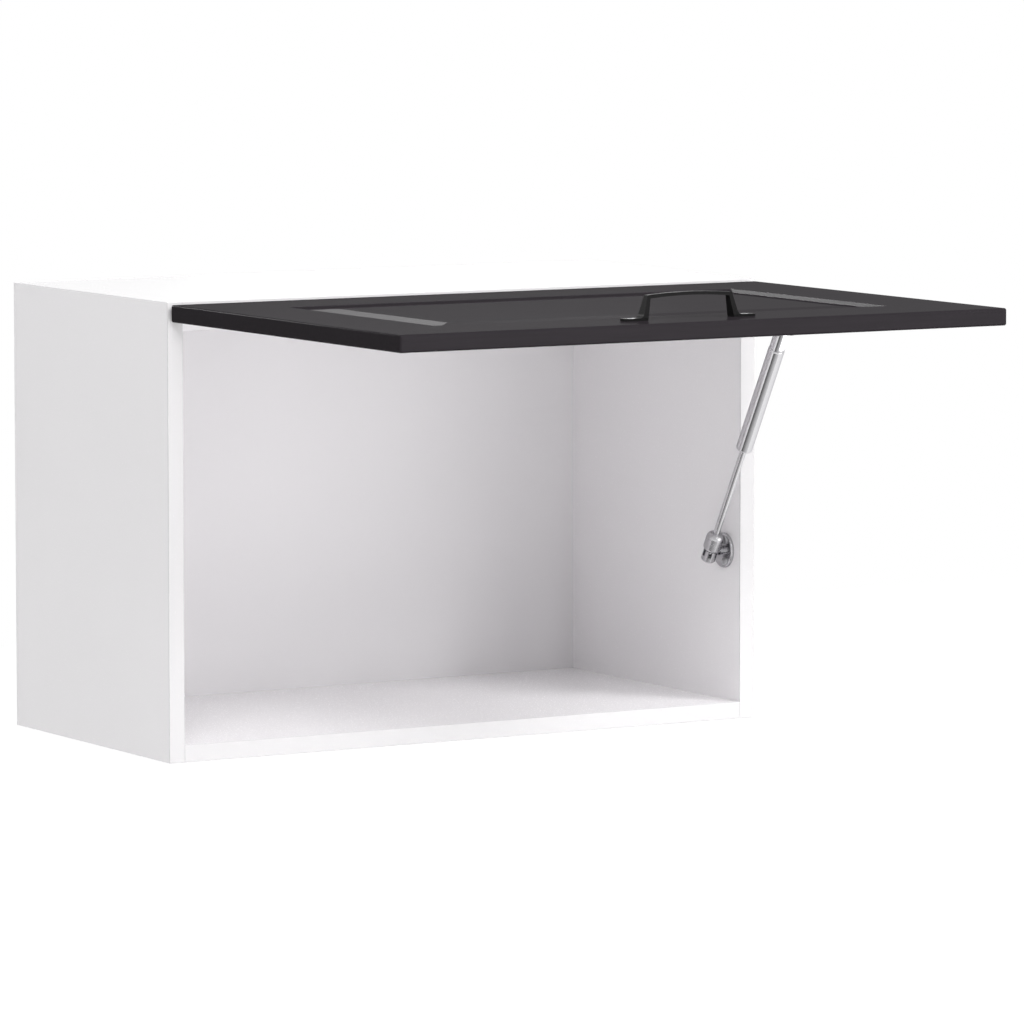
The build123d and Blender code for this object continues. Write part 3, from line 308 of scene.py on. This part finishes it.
def white_board():
    """White melamine with a greyer edge band: cloudy tone, pearl grain, satin surface. The band's
    grey is partly painted shade on the front edges, and the top face carries painted shade.
    """
    material, tree, shader, place = new_material("white_board")
    cloud = noise(tree, place, **BOARD_CLOUD)
    face = tones(tree, cloud, shade(BOARD_WHITE, BOARD_DIMMEST), BOARD_WHITE)
    # Front edge band, its grey partly painted shade.
    front = beyond(tree, place, "Y", CAD_FRONT + EDGE_BAND_DEPTH)
    shaded_band = blend(tree, front, face, SHADED_EDGE_BAND)
    # Painted shade on the box's top face.
    shaded_top = beyond(tree, place, "Z", BOX_TOP - FACE_DEPTH, "GREATER_THAN")
    tone = blend(tree, shaded_top, shaded_band, TOP_PAINTED_SHADE)
    grain = noise(tree, place, **BOARD_GRAIN)
    worn(tree, shader, place, tone, *BOARD_WEAR, shade(SHADED_EDGE_BAND, WORN_BAND_FACTOR))
    vary_roughness(tree, shader, grain, *BOARD_ROUGHNESS)
    shader.inputs["Specular IOR Level"].default_value = BOARD_SPECULAR
    bump(tree, shader, grain, *BOARD_BUMP)
    return material


def white_back():
    """White lacquered hardboard: a little softer and more matt than the boards."""
    material, tree, shader, place = new_material("white_back")
    cloud = noise(tree, place, **BACK_CLOUD)
    tone = tones(tree, cloud, shade(BOARD_WHITE, BACK_DIMMEST), shade(BOARD_WHITE, BACK_BRIGHTEST))
    fibre = noise(tree, stretched(tree, place, BACK_FIBRE_STRETCH), **BACK_FIBRE)
    worn(tree, shader, place, tone, *BACK_WEAR, shade(SHADED_EDGE_BAND, WORN_BAND_FACTOR))
    vary_roughness(tree, shader, fibre, *BACK_ROUGHNESS)
    shader.inputs["Specular IOR Level"].default_value = BACK_SPECULAR
    bump(tree, shader, fibre, *BACK_BUMP)
    return material


def black_door():
    """Black foil over fibreboard with a white back: faint streaks along the door, satin, lighter
    along the edges as wear and a painted highlight.
    """
    material, tree, shader, place = new_material("black_door")
    streak = noise(tree, stretched(tree, place, DOOR_STREAK_STRETCH), **DOOR_STREAK)
    foil = tones(tree, streak, shade(DOOR_BLACK, DOOR_DIMMEST), shade(DOOR_BLACK, DOOR_BRIGHTEST))
    underside = beyond(tree, place, "Z", DOOR_UNDERSIDE + FACE_DEPTH)
    tone = blend(tree, underside, foil, DOOR_BACK_WHITE)
    grain = noise(tree, stretched(tree, place, DOOR_GRAIN_STRETCH), **DOOR_GRAIN)
    # Lighter along the edges: wear and a painted highlight.
    worn(tree, shader, place, tone, *DOOR_EDGE_WEAR_AND_HIGHLIGHT, shade(DOOR_BLACK, DOOR_HIGHLIGHT_AND_WEAR_FACTOR))
    vary_roughness(tree, shader, streak, *DOOR_ROUGHNESS)
    shader.inputs["Specular IOR Level"].default_value = DOOR_SPECULAR
    shader.inputs["Coat Weight"].default_value = DOOR_COAT
    shader.inputs["Coat Roughness"].default_value = DOOR_COAT_ROUGHNESS
    bump(tree, shader, grain, *DOOR_BUMP)
    return material


def black_metal():
    """Black powder coat: a tight orange-peel skin with a low sheen, greyer along the edges as wear
    and a painted highlight.
    """
    material, tree, shader, place = new_material("black_metal")
    peel = noise(tree, place, **POWDER_PEEL)
    # Greyer along the edges: wear and a painted highlight.
    worn(tree, shader, place, tones(tree, peel, POWDER_DARK, POWDER_LIGHT), *POWDER_EDGE_WEAR_AND_HIGHLIGHT,
         POWDER_HIGHLIGHT_AND_WEAR_TONE)
    vary_roughness(tree, shader, peel, *POWDER_ROUGHNESS)
    shader.inputs["Specular IOR Level"].default_value = POWDER_SPECULAR
    bump(tree, shader, peel, *POWDER_BUMP)
    return material


def metal(name, colour, rough, scale, along=(1.0, 1.0, 1.0), dull=0.88, relief=0.08):
    """Bare or plated metal: its tone and roughness wander with fine marks."""
    material, tree, shader, place = new_material(name)
    marks = noise(tree, stretched(tree, place, along), scale, METAL_DETAIL, METAL_NOISE_ROUGHNESS)
    worn(tree, shader, place, tones(tree, marks, shade(colour, dull), colour), *METAL_WEAR,
         METAL_BARE)
    vary_roughness(tree, shader, marks, *rough)
    shader.inputs["Metallic"].default_value = 1.0
    shader.inputs["Specular Tint"].default_value = METAL_EDGE_TINT
    bump(tree, shader, marks, relief, METAL_BUMP_DISTANCE)
    return material


def chrome_steel():
    return metal("chrome_steel", colour=(0.62, 0.615, 0.63), rough=(0.1, 0.15), scale=500.0,
                 dull=0.96, relief=0.01)


def satin_steel():
    return metal("satin_steel", colour=(0.5, 0.495, 0.51), rough=(0.22, 0.28), scale=500.0,
                 dull=0.94, relief=0.02)


def nickel_steel():
    return metal("nickel_steel", colour=(0.56, 0.54, 0.51), rough=(0.24, 0.34), scale=420.0,
                 along=(1.0, 0.3, 1.0))


def zinc_steel():
    return metal("zinc_steel", colour=(0.6, 0.6, 0.61), rough=(0.3, 0.44), scale=700.0)


def black_plastic():
    """Moulded nylon: nearly black, with a fine moulded texture."""
    material, tree, shader, place = new_material("black_plastic")
    skin = noise(tree, place, **PLASTIC_SKIN)
    worn(tree, shader, place, tones(tree, skin, PLASTIC_DARK, PLASTIC_LIGHT), *PLASTIC_WEAR,
         WORN_PLASTIC)
    vary_roughness(tree, shader, skin, *PLASTIC_ROUGHNESS)
    bump(tree, shader, skin, *PLASTIC_BUMP)
    return material


def beech():
    """Turned beech dowel: warm, with fine flecks along its length."""
    material, tree, shader, place = new_material("beech")
    fleck = noise(tree, stretched(tree, place, BEECH_FLECK_STRETCH), **BEECH_FLECK)
    worn(tree, shader, place, tones(tree, fleck, BEECH_DARK, BEECH_LIGHT), *BEECH_WEAR,
         WORN_BEECH)
    vary_roughness(tree, shader, fleck, *BEECH_ROUGHNESS)
    bump(tree, shader, fleck, *BEECH_BUMP)
    return material


def dress_nodes():
    """Gives each CAD node the material of its slot in the record, or its own look."""
    makers = (white_board, white_back, black_door, black_metal, chrome_steel, satin_steel,
              nickel_steel, zinc_steel, black_plastic, beech)
    made = {maker.__name__: maker() for maker in makers}
    for part in frame["record"]["subparts"]:
        obj = frame["nodes"][part["node"]]
        obj.data.materials.clear()
        obj.data.materials.append(made[OWN_LOOK.get(part["node"], part["material_slot"])])


def seen_directly(tree):
    """1 for camera, glossy and transmission rays, otherwise 0."""
    rays = tree.nodes.new("ShaderNodeLightPath")
    either = tree.nodes.new("ShaderNodeMath")
    either.operation = "MAXIMUM"
    tree.links.new(rays.outputs["Is Camera Ray"], either.inputs[0])
    tree.links.new(rays.outputs["Is Glossy Ray"], either.inputs[1])
    any_ray = tree.nodes.new("ShaderNodeMath")
    any_ray.operation = "MAXIMUM"
    tree.links.new(either.outputs[0], any_ray.inputs[0])
    tree.links.new(rays.outputs["Is Transmission Ray"], any_ray.inputs[1])
    return any_ray.outputs[0]


def floor():
    """Pale floor far below the cabinet: it glows white to the camera but keeps the shadow."""
    bpy.ops.mesh.primitive_plane_add(size=FLOOR_SIZE, location=(0.0, 0.0, FLOOR_Z))
    plane = bpy.context.object
    plane.name = "floor"
    material = bpy.data.materials.new("floor")
    material.use_nodes = True
    tree = material.node_tree
    tree.nodes.clear()
    output = tree.nodes.new("ShaderNodeOutputMaterial")
    matt = tree.nodes.new("ShaderNodeBsdfDiffuse")
    matt.inputs["Color"].default_value = (*FLOOR_COLOUR, 1.0)
    glow = tree.nodes.new("ShaderNodeEmission")
    glow.inputs["Strength"].default_value = FLOOR_GLOW
    dimmed = tree.nodes.new("ShaderNodeBsdfDiffuse")
    dimmed.inputs["Color"].default_value = (*shade(FLOOR_COLOUR, FLOOR_MIX), 1.0)
    both = tree.nodes.new("ShaderNodeAddShader")
    mix = tree.nodes.new("ShaderNodeMixShader")
    seen = seen_directly(tree)
    tree.links.new(glow.outputs[0], both.inputs[0])
    tree.links.new(dimmed.outputs[0], both.inputs[1])
    tree.links.new(seen, mix.inputs["Fac"])
    tree.links.new(matt.outputs[0], mix.inputs[1])
    tree.links.new(both.outputs[0], mix.inputs[2])
    tree.links.new(mix.outputs[0], output.inputs["Surface"])
    plane.data.materials.append(material)


def world():
    """White world: a soft even light, and a clean white to the camera and to reflections."""
    setting = bpy.data.worlds.new("studio")
    bpy.context.scene.world = setting
    setting.use_nodes = True
    tree = setting.node_tree
    tree.nodes.clear()
    output = tree.nodes.new("ShaderNodeOutputWorld")
    lit = tree.nodes.new("ShaderNodeBackground")
    lit.inputs["Strength"].default_value = WORLD_STRENGTH
    lit.inputs["Color"].default_value = WHITE
    white = tree.nodes.new("ShaderNodeBackground")
    white.inputs["Color"].default_value = WHITE
    mix = tree.nodes.new("ShaderNodeMixShader")
    seen = seen_directly(tree)
    tree.links.new(seen, mix.inputs["Fac"])
    tree.links.new(lit.outputs[0], mix.inputs[1])
    tree.links.new(white.outputs[0], mix.inputs[2])
    tree.links.new(mix.outputs[0], output.inputs["Surface"])


def aim(obj, target):
    direction = Vector(target) - obj.location
    obj.rotation_euler = direction.to_track_quat("-Z", "Y").to_euler()


def lamp(name, place, size, power, mirrored=True):
    """Soft rectangular lamp aimed at the cabinet, unseen by the camera itself."""
    data = bpy.data.lights.new(name, "AREA")
    data.shape = "RECTANGLE"
    data.size, data.size_y = size
    data.energy = power
    obj = bpy.data.objects.new(name, data)
    bpy.context.collection.objects.link(obj)
    obj.location = place
    aim(obj, AIM)
    obj.visible_camera = False
    obj.visible_glossy = mirrored


def card():
    """Card for reflections alone, dark on the left and fading to the right."""
    bpy.ops.mesh.primitive_plane_add(size=1.0, location=CARD_PLACE)
    obj = bpy.context.object
    obj.name = "card"
    obj.scale = (*CARD_SIZE, 1.0)
    material = bpy.data.materials.new("card")
    material.use_nodes = True
    tree = material.node_tree
    tree.nodes.clear()
    output = tree.nodes.new("ShaderNodeOutputMaterial")
    glow = tree.nodes.new("ShaderNodeEmission")
    place = tree.nodes.new("ShaderNodeTexCoord")
    parts = tree.nodes.new("ShaderNodeSeparateXYZ")
    fade = tree.nodes.new("ShaderNodeMapRange")
    fade.interpolation_type = "SMOOTHSTEP"
    fade.inputs["To Min"].default_value = CARD_DARK
    fade.inputs["To Max"].default_value = CARD_LIGHT
    tree.links.new(place.outputs["UV"], parts.inputs["Vector"])
    tree.links.new(parts.outputs["X"], fade.inputs["Value"])
    tree.links.new(fade.outputs["Result"], glow.inputs["Strength"])
    tree.links.new(glow.outputs[0], output.inputs["Surface"])
    obj.data.materials.append(material)
    obj.visible_camera = False
    obj.visible_diffuse = False
    obj.visible_transmission = False
    obj.visible_shadow = False


def camera():
    data = bpy.data.cameras.new("camera")
    data.lens = CAMERA_LENS
    data.sensor_width = SENSOR
    data.clip_end = VIEW_END
    obj = bpy.data.objects.new("camera", data)
    bpy.context.collection.objects.link(obj)
    obj.location = CAMERA_PLACE
    obj.rotation_euler = (math.pi / 2 - CAMERA_PITCH, 0.0, -CAMERA_YAW)
    bpy.context.scene.camera = obj


def view_settings():
    bpy.context.scene.view_settings.view_transform = "Standard"


view_settings()
camera()
world()
floor()
lamp("key", KEY_PLACE, KEY_SIZE, KEY_POWER)
lamp("high", HIGH_PLACE, HIGH_SIZE, HIGH_POWER)
lamp("left", LEFT_PLACE, SIDE_SIZE, LEFT_POWER, mirrored=False)
lamp("right", RIGHT_PLACE, SIDE_SIZE, RIGHT_POWER, mirrored=False)
lamp("rim", RIM_PLACE, RIM_SIZE, RIM_POWER)
lamp("left_rim", LEFT_RIM_PLACE, LEFT_RIM_SIZE, LEFT_RIM_POWER)
card()
dress_nodes()
